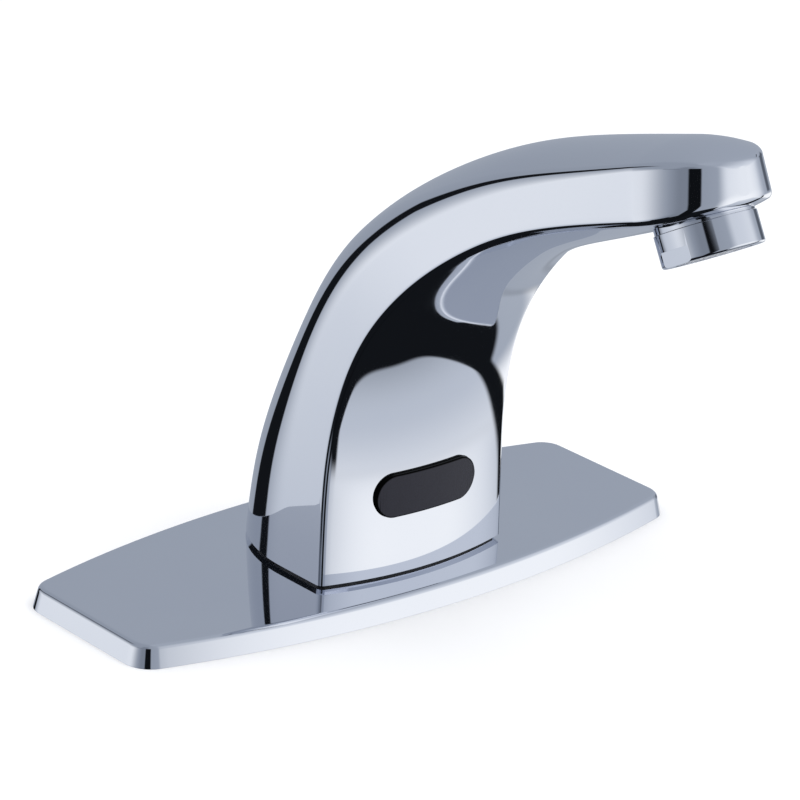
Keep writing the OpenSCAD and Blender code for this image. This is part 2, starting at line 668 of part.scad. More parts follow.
// Play between the two threads
thread_play = 0.07;
washer_t = 0.9;
washer_from = thread_len + slip;
rim_from = washer_from + washer_t;
rim_t = 0.5;
ledge_from = rim_from + rim_t + slip;
cartridge_r = nipple_bore_r - fit_gap;
cartridge_up = 3.6;
cartridge_wall = 0.9;
mouth_r = 8.3;
flat_h = 3.4;
flat_depth_share = 0.073;
lip_r = 0.6;
module aerator_washer() {
    color([0.08, 0.08, 0.08]) at_outlet() translate([0, 0, washer_from]) difference() {
        cylinder(r = thread_r - slip, h = washer_t - slip, $fn = fine);
        translate([0, 0, -over]) cylinder(r = cartridge_r + slip, h = washer_t + 2 * over, $fn = fine);
    }
}
module aerator_cartridge() {
    color([0.9, 0.9, 0.9]) at_outlet() difference() {
        union() {
            translate([0, 0, rim_from]) cylinder(r = thread_r - slip, h = rim_t, $fn = fine);
            translate([0, 0, -cartridge_up])
                cylinder(r = cartridge_r, h = cartridge_up + rim_from + rim_t, $fn = fine);
        }
        translate([0, 0, -cartridge_up - over])
            cylinder(r = cartridge_r - cartridge_wall, h = cartridge_up + ledge_from + 2 * over, $fn = fine);
    }
}
module aerator_screen() {
    holes = 5;
    pitch = 2 * (cartridge_r - cartridge_wall) / (holes + 1);
    color([0.75, 0.76, 0.78]) at_outlet() translate([0, 0, -cartridge_up]) difference() {
        cylinder(r = cartridge_r - cartridge_wall - slip, h = rim_t, $fn = fine);
        for (x = [-2:2], y = [-2:2]) if (norm([x, y]) < 2.5) translate([x * pitch, y * pitch, -over])
            cylinder(d = pitch * hole_share, h = rim_t + 2 * over, $fn = 6);
    }
}
module flow_straightener() {
    r = mouth_r - slip * 2;
    bars = 5;
    bar = 0.7;
    pitch = 2 * r / (bars + 1);
    deep = sleeve_gap + sleeve_len - ledge_from - lip_r;
    color([0.88, 0.88, 0.88]) at_outlet() translate([0, 0, ledge_from - slip]) union() {
        difference() {
            cylinder(r = r, h = deep, $fn = fine);
            translate([0, 0, -over]) cylinder(r = r - cartridge_wall, h = deep + 2 * over, $fn = fine);
        }
        intersection() {
            cylinder(r = r - cartridge_wall / 2, h = deep, $fn = fine);
            for (i = [-2:2]) translate([i * pitch, 0, deep / 2]) {
                cube([bar, 2 * r, deep], center = true);
            }
        }
        intersection() {
            cylinder(r = r - cartridge_wall / 2, h = deep, $fn = fine);
            for (i = [-2:2]) translate([0, i * pitch, deep / 2]) {
                cube([2 * r, bar, deep], center = true);
            }
        }
    }
}
module aerator_sleeve() {
    flat_x = sleeve_r * (1 - flat_depth_share);
    lip_z = sleeve_gap + sleeve_len;
    color([0.82, 0.84, 0.87]) at_outlet() difference() {
        rotate_extrude($fn = fine * 2) polygon(concat(
            [[mouth_r, ledge_from], [thread_r + thread_play, ledge_from],
                [thread_r + thread_play, sleeve_gap], [sleeve_r - lip_r / 2, sleeve_gap],
                [sleeve_r, sleeve_gap + lip_r / 2]],
            [for (a = [0:30:90]) [sleeve_r - lip_r + lip_r * cos(a), lip_z - lip_r + lip_r * sin(a)]],
            [[mouth_r, lip_z]]));
        for (x = [-1, 1]) translate([x * (flat_x + sleeve_r / 2), 0, lip_z - flat_h / 2 + over / 2])
            cube([sleeve_r, 2 * sleeve_r, flat_h + over], center = true);
    }
}

tap_body();
deck_plate();
deck_plate_gasket();
body_gasket();
base_block();
base_screws();
inlet_strainer();
tube_inlet_seal();
water_tube();
tube_outlet_seal();
outlet_nipple();
outlet_seal();
sensor_window();
window_gasket();
sensor_housing();
sensor_circuit_board();
infrared_emitter();
infrared_receiver();
indicator_led();
sensor_rear_cover();
sensor_screws();
lead_grommet();
aerator_washer();
aerator_screen();
aerator_cartridge();
flow_straightener();
aerator_sleeve();
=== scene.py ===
# %% [markdown]
# # A touch-free basin tap in polished chrome
# The tap stands on an oblong cover plate. Its one-piece spout rises from the plate, bends forward
# and ends in a short sleeve that holds the aerator. A dark window low on its front lets infrared
# through. The frame brings every piece from the CAD source. The four pieces that are seen are
# modelled again here to the CAD's sizes, with finer curves, and the rest keep the CAD's shape.

# %% Load the frame
import json
import math
from functools import partial
import bpy
import bmesh
import numpy as np
from mathutils import Matrix, Vector


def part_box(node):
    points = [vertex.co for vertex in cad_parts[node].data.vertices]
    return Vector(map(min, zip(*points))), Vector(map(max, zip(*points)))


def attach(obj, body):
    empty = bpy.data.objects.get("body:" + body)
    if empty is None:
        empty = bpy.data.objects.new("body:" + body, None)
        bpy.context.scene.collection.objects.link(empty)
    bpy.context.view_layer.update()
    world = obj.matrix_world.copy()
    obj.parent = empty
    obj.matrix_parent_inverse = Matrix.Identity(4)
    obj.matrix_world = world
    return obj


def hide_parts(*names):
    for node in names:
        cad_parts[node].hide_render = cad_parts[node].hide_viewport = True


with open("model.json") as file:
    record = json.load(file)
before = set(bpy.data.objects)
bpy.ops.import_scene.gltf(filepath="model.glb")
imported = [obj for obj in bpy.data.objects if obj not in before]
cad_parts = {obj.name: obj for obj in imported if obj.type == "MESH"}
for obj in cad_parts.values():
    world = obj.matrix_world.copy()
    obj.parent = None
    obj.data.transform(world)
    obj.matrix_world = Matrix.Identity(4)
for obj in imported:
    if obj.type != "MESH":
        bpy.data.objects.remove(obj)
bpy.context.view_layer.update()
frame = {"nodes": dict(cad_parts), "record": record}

MM = 0.001


def in_mm(lengths, digits=1):
    return [round(length / MM, digits) for length in lengths]


# %% [markdown]
# ## Camera
# A long lens from the front left, a little above the tap. The camera leans by three degrees, as
# in the photograph, so its three directions are worked out and set as a matrix. Angles alone
# would have to be turned in the right order, which is easy to get wrong.

# %% Camera
CAMERA_AZIMUTH = math.radians(-41.46)
CAMERA_HEIGHT = math.radians(21.39)
CAMERA_LEAN = math.radians(3.0)
CAMERA_DISTANCE = 973.2 * MM
LOOK_AT = Vector((10.8, 0, 37.8)) * MM
SENSOR = 36
LENS_IN_PIXELS = 4124
PICTURE_WIDTH = 800
NEAREST_SEEN = 0.05

camera_back = Vector((math.sin(CAMERA_AZIMUTH) * math.cos(CAMERA_HEIGHT),
                      -math.cos(CAMERA_AZIMUTH) * math.cos(CAMERA_HEIGHT),
                      math.sin(CAMERA_HEIGHT)))
level_right = Vector((math.cos(CAMERA_AZIMUTH), math.sin(CAMERA_AZIMUTH), 0))
level_up = camera_back.cross(level_right)
camera_right = math.cos(CAMERA_LEAN) * level_right + math.sin(CAMERA_LEAN) * level_up
camera_up = camera_back.cross(camera_right)
camera_data = bpy.data.cameras.new("camera")
camera_data.sensor_width = SENSOR
camera_data.lens = LENS_IN_PIXELS * SENSOR / PICTURE_WIDTH
camera_data.clip_start = NEAREST_SEEN
camera = bpy.data.objects.new("camera", camera_data)
bpy.context.scene.collection.objects.link(camera)
turned = Matrix((camera_right, camera_up, camera_back)).transposed().to_4x4()
camera.matrix_world = Matrix.Translation(LOOK_AT + camera_back * CAMERA_DISTANCE) @ turned
bpy.context.scene.camera = camera
print("camera at", in_mm(camera.matrix_world.translation), "mm")

# %% [markdown]
# ## Helpers for modelling by hand
# The pieces start as primitives and are shaped with the same operators that a person would use.
# An operator works on what is selected, so each helper first clears the selection.

# %% Select and edit
def select_only(piece):
    bpy.ops.object.select_all(action="DESELECT")
    piece.select_set(True)
    bpy.context.view_layer.objects.active = piece


def edit(piece):
    select_only(piece)
    bpy.ops.object.mode_set(mode="EDIT")
    bpy.ops.mesh.select_all(action="DESELECT")


def done():
    bpy.ops.object.mode_set(mode="OBJECT")


def pick(kind, test):
    """Selects the faces, edges or vertices of the piece in edit mode for which the test holds."""
    mesh = bmesh.from_edit_mesh(bpy.context.object.data)
    bpy.ops.mesh.select_mode(type={"faces": "FACE", "edges": "EDGE", "verts": "VERT"}[kind])
    bpy.ops.mesh.select_all(action="DESELECT")
    for part in getattr(mesh, kind):
        if test(part):
            part.select = True
    mesh.select_flush_mode()
    bmesh.update_edit_mesh(bpy.context.object.data)


def bevel(size, segments):
    """Rounds the edges that are picked; size is in mm."""
    bpy.ops.mesh.bevel(offset=size * MM, segments=segments, affect="EDGES")


# %% Add, cut and smooth
SHARP_FROM = math.radians(30)


def new_piece(name):
    """The object that an add operator just made, renamed, with its place moved into its mesh."""
    piece = bpy.context.object
    piece.name = piece.data.name = name
    bpy.ops.object.transform_apply(location=True, rotation=True, scale=True)
    return piece


def add_cylinder(name, radius, depth, sides, place=(0, 0, 0), rotation=(0, 0, 0)):
    """A cylinder with its radius and depth in mm, centred on a place in metres."""
    bpy.ops.object.select_all(action="DESELECT")
    bpy.ops.mesh.primitive_cylinder_add(vertices=sides, radius=radius * MM, depth=depth * MM,
                                        location=place, rotation=rotation)
    return new_piece(name)


def add_box(name, sizes, place, rotation=(0, 0, 0)):
    """A box with its three sizes in mm, centred on a place in metres."""
    bpy.ops.object.select_all(action="DESELECT")
    bpy.ops.mesh.primitive_cube_add(size=1, location=place, rotation=rotation,
                                    scale=Vector(sizes) * MM)
    return new_piece(name)


def apply_modifier(piece, kind, **settings):
    select_only(piece)
    modifier = piece.modifiers.new(kind.lower(), kind)
    for name, value in settings.items():
        setattr(modifier, name, value)
    bpy.ops.object.modifier_apply(modifier=modifier.name)


def carve(piece, tool, way="DIFFERENCE"):
    """Cuts a tool away from a piece, or joins it on, and removes the tool."""
    apply_modifier(piece, "BOOLEAN", object=tool, operation=way, solver="EXACT")
    bpy.data.objects.remove(tool)


def smooth(piece):
    select_only(piece)
    bpy.ops.object.shade_smooth_by_angle(angle=SHARP_FROM)
    apply_modifier(piece, "WEIGHTED_NORMAL", keep_sharp=True, weight=80)
    print(piece.name, len(piece.data.polygons), "faces")


# %% [markdown]
# ## The spout's skin
# The real spout is one brass casting, ground and polished until light runs along it without a
# kink. Its section changes all the way from the broad base to the slim nose, so no primitive
# leads to it. It is lofted instead: ten control slices, as in the CAD source, are joined by a
# smooth curve, and each slice in between is drawn with fine steps. The look needs a few numbers
# that differ a little from the source's: the upper edge near the nose is crisper and higher, the
# arch under the spout bulges less, and the foot is chamfered.

# %% Sizes of the spout, in mm
PLATE_H, SEAT_GAP = 5.3, 0.3
SEAT_Z = PLATE_H + SEAT_GAP
BODY_H, REACH = 124.9, 117.8
HALF_BASE, HALF_NOSE = 55.8 / 2, 35.6 / 2
EDGE_R, BODY_WALL = 1.3, 3.0
# Each row is a slice, from the base to the nose. Its first four numbers say how far forward and
# how high its front edge is, then its back edge (shares of the reach and of the body's height).
# Then come its half width (0 at the nose, 1 at the base), its back's width as a share of its
# front's, the bulge of its front and the crown of its back (shares of its half width), and how
# far its back edge is rounded, across (a share of the back's half width) and down the side (a
# share of the side).
SLICES = np.array([
    [0.164, 0.000, -0.148, 0.000, 1.000, 1.00, 0.155, 0.370, 0.90, 0.61],
    [0.160, 0.147, -0.127, 0.159, 0.984, 1.00, 0.158, 0.357, 0.88, 0.60],
    [0.160, 0.259, -0.076, 0.295, 0.930, 0.99, 0.163, 0.335, 0.80, 0.58],
    [0.177, 0.371, -0.012, 0.430, 0.850, 0.97, 0.165, 0.310, 0.72, 0.50],
    [0.215, 0.472, 0.050, 0.545, 0.760, 0.95, 0.170, 0.325, 0.55, 0.44],
    [0.275, 0.564, 0.140, 0.648, 0.680, 0.93, 0.175, 0.355, 0.40, 0.36],
    [0.372, 0.666, 0.276, 0.752, 0.520, 0.91, 0.225, 0.350, 0.27, 0.30],
    [0.518, 0.768, 0.466, 0.857, 0.200, 0.90, 0.260, 0.335, 0.16, 0.22],
    [0.678, 0.830, 0.645, 0.918, 0.010, 0.89, 0.285, 0.325, 0.10, 0.14],
    [0.866, 0.887, 0.835, 0.981, 0.000, 0.88, 0.140, 0.220, 0.07, 0.09]])
LAST = len(SLICES) - 1
print(len(SLICES), "control slices")


# %% Smooth curve through the control slices
def control(i):
    """A control slice; one more is guessed in a straight line past each end."""
    if i < 0:
        return 2 * SLICES[0] - SLICES[1]
    if i > LAST:
        return 2 * SLICES[LAST] - SLICES[LAST - 1]
    return SLICES[i]


def slice_at(s):
    """Front edge, back edge, half widths, bulge, crown and roundings of the slice at s, in mm."""
    i = min(int(s), LAST - 1)
    t = s - i
    c = ((1 - t) ** 3 * control(i - 1) + (3 * t ** 3 - 6 * t ** 2 + 4) * control(i)
         + (-3 * t ** 3 + 3 * t ** 2 + 3 * t + 1) * control(i + 1) + t ** 3 * control(i + 2)) / 6
    w = HALF_NOSE + (HALF_BASE - HALF_NOSE) * c[4]
    return [np.array([-c[0] * REACH, SEAT_Z + c[1] * BODY_H]),
            np.array([-c[2] * REACH, SEAT_Z + c[3] * BODY_H]),
            w, w * c[5], w * c[6], w * c[7], w * c[5] * c[8], c[9]]


print("half width in mm:", [round(slice_at(s)[2], 1) for s in range(LAST + 1)])

# %% Slices that close the nose
NOSE_FROM, NOSE_TO, BLUNTNESS = math.radians(10), math.radians(88.5), 0.88
NOSE_TOP_SHARE, NOSE_BOTTOM_SHARE = 0.16, 0.18
NOSE_EDGE_R = 1.2
MOST_ROUNDING = 0.9


def nose_slice(angle):
    """The nose closes as a blunt oval that is seen along the spout's height."""
    front_edge, back_edge, width, back_width, bulge, crown, rounding, down = slice_at(LAST)
    depth = np.linalg.norm(back_edge - front_edge)
    up = (back_edge - front_edge) / depth
    front = np.array([-up[1], up[0]])
    start = math.sin(NOSE_FROM)
    long = (REACH + front_edge[0]) / -front[0] / (1 - start)
    wide = width / math.cos(NOSE_FROM) ** BLUNTNESS
    go = long * (math.sin(angle) - start)
    left = long * (1 - math.sin(angle))
    share = (math.sin(angle) - start) / (1 - start)
    drop = 0
    if left < NOSE_EDGE_R:
        drop = NOSE_EDGE_R - math.sqrt(NOSE_EDGE_R ** 2 - (NOSE_EDGE_R - left) ** 2)
    low = depth * NOSE_BOTTOM_SHARE * share ** 2 + drop
    high = depth * NOSE_TOP_SHARE * share ** 3 + drop
    w = wide * math.cos(angle) ** BLUNTNESS
    v = w * back_width / width
    slope = long * math.cos(angle) / math.hypot(long * math.cos(angle), wide * math.sin(angle))
    return [front_edge + front * go + up * low, back_edge + front * go - up * high, w, v,
            bulge * math.cos(angle), crown * (math.cos(angle) / math.cos(NOSE_FROM)) ** 2,
            min(MOST_ROUNDING * v, rounding / slope), down]


print("nose's tip at", [round(float(c), 1) for c in nose_slice(NOSE_TO)[0]], "mm")

# %% Outline of a slice
CONIC_W = 0.707
MOST_EDGE = 0.45


def conic(start, corner, end, count):
    """Points of a rounded corner, nearly an arc, without its start."""
    t = np.linspace(0, 1, count + 1)[1:, None]
    weight = (1 - t) ** 2 + 2 * CONIC_W * t * (1 - t) + t ** 2
    return ((1 - t) ** 2 * start + 2 * CONIC_W * t * (1 - t) * corner + t ** 2 * end) / weight


def ring(part, inset, steps):
    """A slice's outline in space, counter-clockwise, moved inwards by inset.

    Its right half is drawn first, from the middle of the front to the middle of the back, with
    steps for the front, its corner, the side, the back's rounding and the crown.
    """
    front_edge, back_edge, width, back_width, bulge, crown, rounding, down = part
    deep = np.linalg.norm(back_edge - front_edge)
    w, v, top, bottom = width - inset, back_width - inset, inset, deep - inset
    tall = bottom - top
    bulge, crown = bulge * w / width, crown * v / back_width
    e = min(EDGE_R, w * MOST_EDGE)
    u = 1 - e / w
    r = min(rounding, MOST_ROUNDING * v)
    k = 1 - r / v
    side = down * tall

    def at(share):
        return v + (w - v) * share

    front_x = np.linspace(0, u * w, steps[0] + 1)
    edge_end = np.array([at(1 - e / tall), bottom - e])
    side_end = np.array([at(side / tall), top + side])
    back_x = k * v * (1 - np.linspace(0, 1, steps[4] + 1)[1:])
    half = np.concatenate([
        np.c_[front_x, bottom + bulge * (1 - (front_x / w) ** 2)],
        conic(np.array([u * w, bottom + bulge * (1 - u * u)]),
              np.array([w, bottom + bulge * (1 - u) ** 2]), edge_end, steps[1]),
        edge_end + (side_end - edge_end) * np.linspace(0, 1, steps[2] + 1)[1:, None],
        conic(side_end, np.array([at(-crown * (1 - k) ** 2 / tall), top - crown * (1 - k) ** 2]),
              np.array([k * v, top - crown * (1 - k * k)]), steps[3]),
        np.c_[back_x, top - crown * (1 - (back_x / v) ** 2)]])
    whole = np.concatenate([half, half[-2:0:-1] * (-1, 1)])
    along = (front_edge - back_edge) / deep
    return np.c_[whole[:, 0], back_edge[0] + along[0] * whole[:, 1],
                 back_edge[1] + along[1] * whole[:, 1]]


SKIN_STEPS = (22, 6, 8, 22, 16)
print(len(ring(slice_at(0), 0, SKIN_STEPS)), "points in a ring")


# %% Loft the spout
def loft(name, rings):
    """A closed skin of quads over a stack of rings, with a flat face at each end."""
    n = len(rings[0])
    faces = [[j * n + i, j * n + (i + 1) % n, (j + 1) * n + (i + 1) % n, (j + 1) * n + i]
             for j in range(len(rings) - 1) for i in range(n)]
    ends = [list(range(n))[::-1], list(range((len(rings) - 1) * n, len(rings) * n))]
    mesh = bpy.data.meshes.new(name)
    mesh.from_pydata([Vector(p) * MM for r in rings for p in r], [], faces + ends)
    mesh.validate()
    piece = bpy.data.objects.new(name, mesh)
    bpy.context.scene.collection.objects.link(piece)
    edit(piece)
    bpy.ops.mesh.select_all(action="SELECT")
    bpy.ops.mesh.normals_make_consistent(inside=False)
    done()
    return piece


RINGS_PER_SLICE = 14
NOSE_RINGS = 44
FOOT_CHAMFER, CHAMFER_TOP = 0.8, 0.045
skin_slices = [slice_at(i / RINGS_PER_SLICE) for i in range(1, LAST * RINGS_PER_SLICE)]
skin_slices += [nose_slice(a) for a in np.linspace(NOSE_FROM, NOSE_TO, NOSE_RINGS + 1)]
foot_rings = [ring(slice_at(0), FOOT_CHAMFER, SKIN_STEPS),
              ring(slice_at(CHAMFER_TOP), 0, SKIN_STEPS)]
spout = loft("spout", foot_rings + [ring(part, 0, SKIN_STEPS) for part in skin_slices])
print("spout skin:", len(spout.data.polygons), "faces")

# %% [markdown]
# ## The spout's openings
# The casting is hollow from its open base up to the nose. It has a pocket for the window, and a
# round boss with the hole for the aerator. The openings could be built into the loft, but that
# would break its even rows of faces. Each one is cut with a simple tool instead, as a mill would.

# %% Outlet's direction
OUTLET_TILT = math.radians(28.8)
OUTLET_AHEAD, OUTLET_BELOW = 3.7, 1.3
OUTLET_AT = np.array([-SLICES[LAST, 0] * REACH - OUTLET_AHEAD,
                      SEAT_Z + SLICES[LAST, 1] * BODY_H - OUTLET_BELOW])
outlet_axis = Vector((0, -math.sin(OUTLET_TILT), -math.cos(OUTLET_TILT)))
outlet_turn = (math.pi - OUTLET_TILT, 0, 0)
SLEEVE_R, SLEEVE_PLAY = 11.25, 0.3


def outlet_point(along):
    """A point on the outlet's axis, so many mm out of the spout."""
    return (Vector((0, *OUTLET_AT)) + outlet_axis * along) * MM


def outlet_cylinder(name, radius, start, end, sides=128):
    """A cylinder on the outlet's axis, from start to end."""
    middle = outlet_point((start + end) / 2)
    return add_cylinder(name, radius, end - start, sides, middle, outlet_turn)


print("outlet at", in_mm(outlet_point(0), 2), "mm")

# %% Boss, cavity and outlet hole
BOSS_LENGTH, SPOT_FACE_DEPTH = 7, 4.4
SOCKET_R, SOCKET_DEPTH = 8.4, 10
# a cutter goes so far past a face, because faces that only touch don't cut cleanly
PAST = 1
carve(spout, outlet_cylinder("boss", SLEEVE_R - SLEEVE_PLAY, -BOSS_LENGTH, 0), "UNION")
CAVITY_END, CAVITY_RINGS = 8.35, 30
INNER_STEPS = (8, 2, 2, 8, 4)
cavity_rings = [ring(slice_at(0), BODY_WALL, INNER_STEPS) - (0, 0, PAST)]
cavity_rings += [ring(slice_at(CAVITY_END * i / CAVITY_RINGS), BODY_WALL, INNER_STEPS)
                 for i in range(CAVITY_RINGS + 1)]
carve(spout, loft("cavity", cavity_rings))
carve(spout, outlet_cylinder("spot_face", SLEEVE_R + SLEEVE_PLAY, 0, SPOT_FACE_DEPTH))
carve(spout, outlet_cylinder("nipple_socket", SOCKET_R, -SOCKET_DEPTH, PAST))
print("hollow spout:", len(spout.data.polygons), "faces")

# %% Window opening
WINDOW_W, WINDOW_H, WINDOW_Z = 30.2, 10.8, SEAT_Z + 20.6
# the front of the bulge, and how far the cutter reaches ahead of it and behind it
FRONT_Y, CUT_AHEAD, CUT_BEHIND = -23.2, 5, 8
STADIUM_SIDES = 96
OFF_MIDDLE = 0.0001 * MM


def stadium(name, width, height, front, back):
    """A stadium-shaped plug along Y: a cylinder whose two halves are pulled apart."""
    place = Vector((0, (front + back) / 2, WINDOW_Z)) * MM
    piece = add_cylinder(name, height / 2, back - front, STADIUM_SIDES, place, (math.pi / 2, 0, 0))
    edit(piece)
    for side in (-1, 1):
        pick("verts", lambda v: v.co.x * side > OFF_MIDDLE)
        bpy.ops.transform.translate(value=(side * (width - height) / 2 * MM, 0, 0))
    done()
    return piece


carve(spout, stadium("window_opening", WINDOW_W, WINDOW_H,
                     FRONT_Y - CUT_AHEAD, FRONT_Y + CUT_BEHIND))
smooth(spout)
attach(spout, "fixed_tap")
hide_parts("tap_body")

# %% [markdown]
# ## The cover plate
# A real plate is pressed from sheet: a flat top, a flared rim and a soft edge between them. A
# bevelled box would do for straight sides, but these are arcs. So the outline is walked by
# spinning a single point around the centres of its arcs. Then the face is inset and lifted in
# one go, which gives the flared rim, and the rim's top edge is bevelled.

# %% Centres of the outline's arcs
PLATE_LEN, PLATE_MID_W, PLATE_END_W = 160, 63.8, 41.2
PLATE_FLARE, PLATE_CORNER_R, PLATE_EDGE_R, PLATE_WALL = 1.3, 5.6, 1.1, 1.6
sag = (PLATE_MID_W - PLATE_END_W) / 2
side_r = ((PLATE_LEN / 2) ** 2 + sag ** 2) / (2 * sag)
side_mid = side_r - PLATE_MID_W / 2
corner_x = PLATE_LEN / 2 - PLATE_CORNER_R
corner_y = math.sqrt((side_r - PLATE_CORNER_R) ** 2 - corner_x ** 2) - side_mid
side_angle = math.atan2(corner_x, corner_y + side_mid)
corner_angle = math.pi / 2 - side_angle
print("each long side turns", round(2 * math.degrees(side_angle), 1), "degrees at a radius of",
      round(side_r, 1), "mm")

# %% Walk the outline
HALF_SIDE_STEPS, CORNER_STEPS = 40, 12
# points that are nearer to each other than this, in mm, are merged
SAME_POINT = 0.001


def walk_arc(centre_x, centre_y, angle, steps):
    bpy.ops.mesh.spin(steps=steps, angle=angle, center=Vector((centre_x, centre_y, 0)) * MM,
                      axis=(0, 0, -1))


def walk_straight(distance):
    bpy.ops.mesh.extrude_region_move(TRANSFORM_OT_translate={"value": (0, distance * MM, 0)})


# a tiny plane is merged to its centre, and that point is walked round
start_at = Vector((0, side_r + PLATE_FLARE - side_mid, 0)) * MM
bpy.ops.object.select_all(action="DESELECT")
bpy.ops.mesh.primitive_plane_add(size=MM, location=start_at)
plate = new_piece("cover_plate")
edit(plate)
bpy.ops.mesh.select_all(action="SELECT")
bpy.ops.mesh.merge(type="CENTER")
walk_arc(0, -side_mid, side_angle, HALF_SIDE_STEPS)
walk_arc(-corner_x, corner_y, corner_angle, CORNER_STEPS)
walk_straight(-2 * corner_y)
walk_arc(-corner_x, -corner_y, corner_angle, CORNER_STEPS)
walk_arc(0, side_mid, 2 * side_angle, 2 * HALF_SIDE_STEPS)
walk_arc(corner_x, -corner_y, corner_angle, CORNER_STEPS)
walk_straight(2 * corner_y)
walk_arc(corner_x, corner_y, corner_angle, CORNER_STEPS)
walk_arc(0, -side_mid, side_angle, HALF_SIDE_STEPS)
bpy.ops.mesh.select_all(action="SELECT")
bpy.ops.mesh.remove_doubles(threshold=SAME_POINT * MM)
bpy.ops.mesh.select_all(action="SELECT")
bpy.ops.mesh.edge_face_add()
done()
print("outline:", len(plate.data.vertices), "points, size", in_mm(plate.dimensions, 2), "mm")

# %% Lift the rim and soften its edge
# how near a point has to be to count as lying on an edge, in mm
NEAR = 0.1
edit(plate)
bpy.ops.mesh.select_all(action="SELECT")
bpy.ops.mesh.normals_make_consistent(inside=False)
done()
if plate.data.polygons[0].normal.z < 0:
    plate.data.flip_normals()
edit(plate)
bpy.ops.mesh.select_all(action="SELECT")
bpy.ops.mesh.inset(thickness=PLATE_FLARE * MM, depth=PLATE_H * MM, use_even_offset=True)
pick("edges", lambda e: all(v.co.z > (PLATE_H - NEAR) * MM for v in e.verts))
bevel(PLATE_EDGE_R, segments=6)
done()
print("plate's top:", len(plate.data.polygons), "faces")

# %% Give the plate its wall and its hole
DECK_HOLE_R, DECK_HOLE_DEPTH = 17, 30
apply_modifier(plate, "SOLIDIFY", thickness=PLATE_WALL * MM, offset=-1, use_even_offset=True)
edit(plate)
pick("verts", lambda v: v.co.z < NEAR * MM)
bpy.ops.transform.resize(value=(1, 1, 0), center_override=(0, 0, 0))
done()
carve(plate, add_cylinder("deck_hole", DECK_HOLE_R, DECK_HOLE_DEPTH, sides=128))
smooth(plate)
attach(plate, "fixed_tap")
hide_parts("deck_plate")

# %% [markdown]
# ## The aerator's sleeve
# The sleeve is turned from bar: a short tube with a lip at its mouth, a thread bore behind it
# and two flats for a spanner. Its profile could be spun round the axis, but the tube starts as a
# cylinder here, so that its sizes stay easy to see: both ends are inset and pushed in until they
# meet at the ledge. The flats are cut last, as on the real one.

# %% Sleeve
SLEEVE_FROM, SLEEVE_TO, LEDGE = 0.05, 7.25, 5.92
MOUTH_R, THREAD_BORE_R, LIP_R = 8.3, 10.0, 0.6
# how near two heights on the outlet's axis have to be to count as one, in mm
TOUCHING = 0.01
sleeve = outlet_cylinder("aerator_ring", SLEEVE_R, SLEEVE_FROM, SLEEVE_TO, sides=160)


def along_outlet(point):
    return (point - outlet_point(0)).dot(outlet_axis) / MM


def end_face(end):
    """Picks the round face that closes the tube so many mm along the outlet."""
    pick("faces", lambda f: len(f.verts) > 4
         and abs(along_outlet(f.calc_center_median()) - end) < TOUCHING)


edit(sleeve)
for end, radius in ((SLEEVE_FROM, THREAD_BORE_R), (SLEEVE_TO, MOUTH_R)):
    end_face(end)
    bpy.ops.mesh.inset(thickness=(SLEEVE_R - radius) * MM, use_even_offset=True)
    push = outlet_axis * (LEDGE - end) * MM
    bpy.ops.mesh.extrude_region_move(TRANSFORM_OT_translate={"value": push})
end_face(LEDGE)
bpy.ops.mesh.delete(type="ONLY_FACE")
pick("edges", lambda e: e.is_boundary)
bpy.ops.mesh.bridge_edge_loops()
print("tube from", SLEEVE_FROM, "to", SLEEVE_TO, "mm along the outlet, ledge at", LEDGE)


# %% Round the sleeve's rims
def rim_edges(end):
    """Picks the outer edge of the tube's end."""
    pick("edges", lambda e: all(abs(along_outlet(v.co) - end) < TOUCHING
                                and (v.co - outlet_point(end)).length > (SLEEVE_R - NEAR) * MM
                                for v in e.verts))


rim_edges(SLEEVE_TO)
bevel(LIP_R, segments=6)
rim_edges(SLEEVE_FROM)
bevel(LIP_R / 4, segments=3)
done()
print("sleeve with round rims:", len(sleeve.data.polygons), "faces")

# %% Cut the spanner flats
FLAT_SHARE, FLAT_H, FLAT_PAST = 0.073, 3.4, 0.5
FLAT_X = SLEEVE_R * (1 - FLAT_SHARE)
CUTTER_W, CUTTER_LEN = 10, 30
for side in (-1, 1):
    cutter_at = (outlet_point(SLEEVE_TO - FLAT_H / 2 + FLAT_PAST)
                 + Vector((side * (FLAT_X + CUTTER_W / 2) * MM, 0, 0)))
    cutter_sizes = (CUTTER_W, CUTTER_LEN, FLAT_H + 2 * FLAT_PAST)
    carve(sleeve, add_box("spanner_flat", cutter_sizes, cutter_at, outlet_turn))
smooth(sleeve)
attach(sleeve, "sleeve")
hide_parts("aerator_sleeve")

# %% [markdown]
# ## The dark window
# The window is moulded from a plastic that looks nearly black but lets infrared through. Its
# face follows the body's bulge and stands a little proud of it, so its side, dark in itself and
# darker still from painted shade, shows along the top and the left. A flat plug would stand out
# at its ends or sink in at its middle, so a stadium plug is trimmed by a large cylinder, and its
# rim is bevelled. A flange behind the wall holds it in place.

# %% Trim a plug to the bulge
WINDOW_SLICE, PROUD, FIT = 1.2, 1.0, 0.2
WINDOW_EDGE_R, PLUG_AHEAD, BULGE_H = 0.3, 3, 40
RIM_ANGLE = math.radians(45)
FLANGE_T, FLANGE_RIM, FLANGE_CORNER_R = 1.4, 1.6, 2.8
flange_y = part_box("sensor_window")[1].y / MM - FLANGE_T / 2
front_slice = slice_at(WINDOW_SLICE)
bulge_r = (front_slice[2] ** 2 + front_slice[4] ** 2) / (2 * front_slice[4])
skin_y = front_slice[0][0] - front_slice[4]
window = stadium("window", WINDOW_W - FIT, WINDOW_H - FIT, skin_y - PLUG_AHEAD, flange_y)
bulge_at = Vector((0, skin_y + bulge_r, WINDOW_Z)) * MM
bulge = add_cylinder("bulge", bulge_r + PROUD, BULGE_H, sides=720, place=bulge_at)
carve(window, bulge, "INTERSECT")
edit(window)
